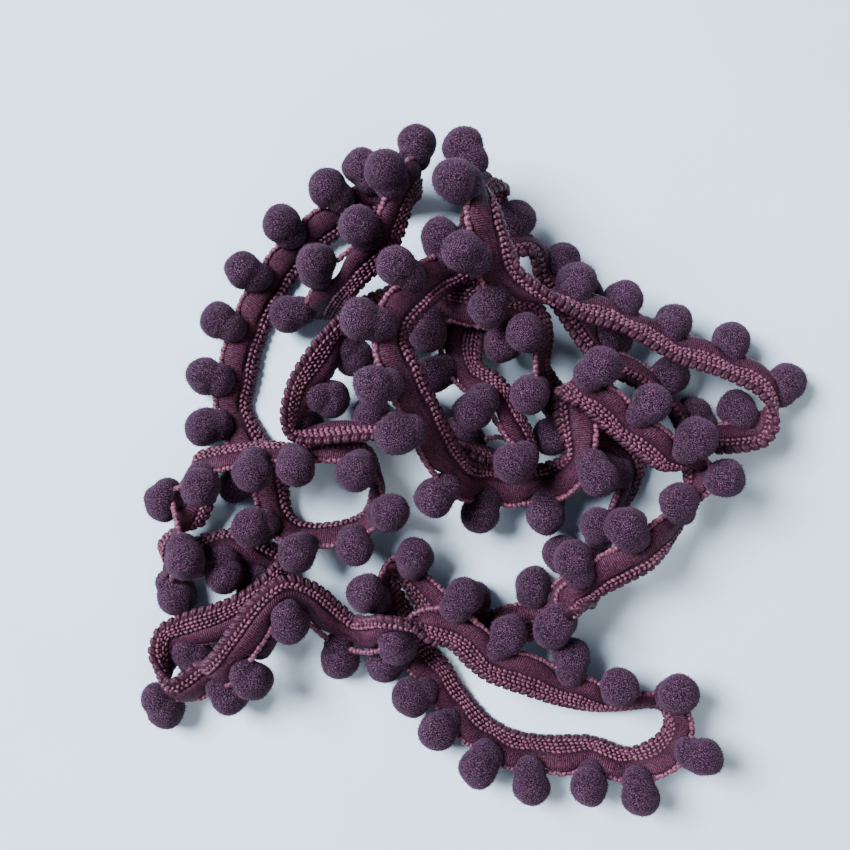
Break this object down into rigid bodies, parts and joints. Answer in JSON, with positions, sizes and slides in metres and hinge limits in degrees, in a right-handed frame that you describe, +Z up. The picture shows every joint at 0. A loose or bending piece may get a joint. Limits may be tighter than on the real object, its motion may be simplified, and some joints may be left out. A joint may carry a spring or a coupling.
{
  "type": "pompom fringe trim",
  "caption": "Loose tangled heap of plum pompom fringe trim: a braided heading with padded scallops along one edge and round chenille pompoms at the dips between them.",
  "frame": {"origin": "on the surface that the heap lies on, under the middle of its box", "axes": "+Z up from the surface, +X to the picture's right, +Y to the picture's top"},
  "size_m": [0.1612, 0.1646, 0.0424],
  "materials": {
    "braid": "satin viscose thread",
    "pile": "matt chenille pile"
  },
  "bodies": {
    "root": {"heading": "braid", "pompoms_arc_foot": "pile", "pompoms_arc_side": "pile", "pompoms_arc_top": "pile", "pompoms_arm_fold": "pile", "pompoms_centre_low": "pile", "pompoms_core_rise": "pile", "pompoms_core_turn": "pile", "pompoms_crest": "pile", "pompoms_curl_and_low_run": "pile", "pompoms_inner_arm": "pile", "pompoms_inner_floor": "pile", "pompoms_inner_left": "pile", "pompoms_left_loop_floor": "pile", "pompoms_left_loop_top": "pile", "pompoms_left_loop_turn": "pile", "pompoms_left_return": "pile", "pompoms_left_tail_low": "pile", "pompoms_left_tail_top": "pile", "pompoms_lower_run": "pile", "pompoms_middle_run": "pile", "pompoms_middle_start": "pile", "pompoms_outer_arm": "pile", "pompoms_right_arm": "pile", "pompoms_right_back": "pile", "pompoms_right_foot": "pile", "pompoms_right_hairpin": "pile", "pompoms_right_tip": "pile", "pompoms_rise_to_centre": "pile", "pompoms_upper_right": "pile"}
  },
  "joints": []
}
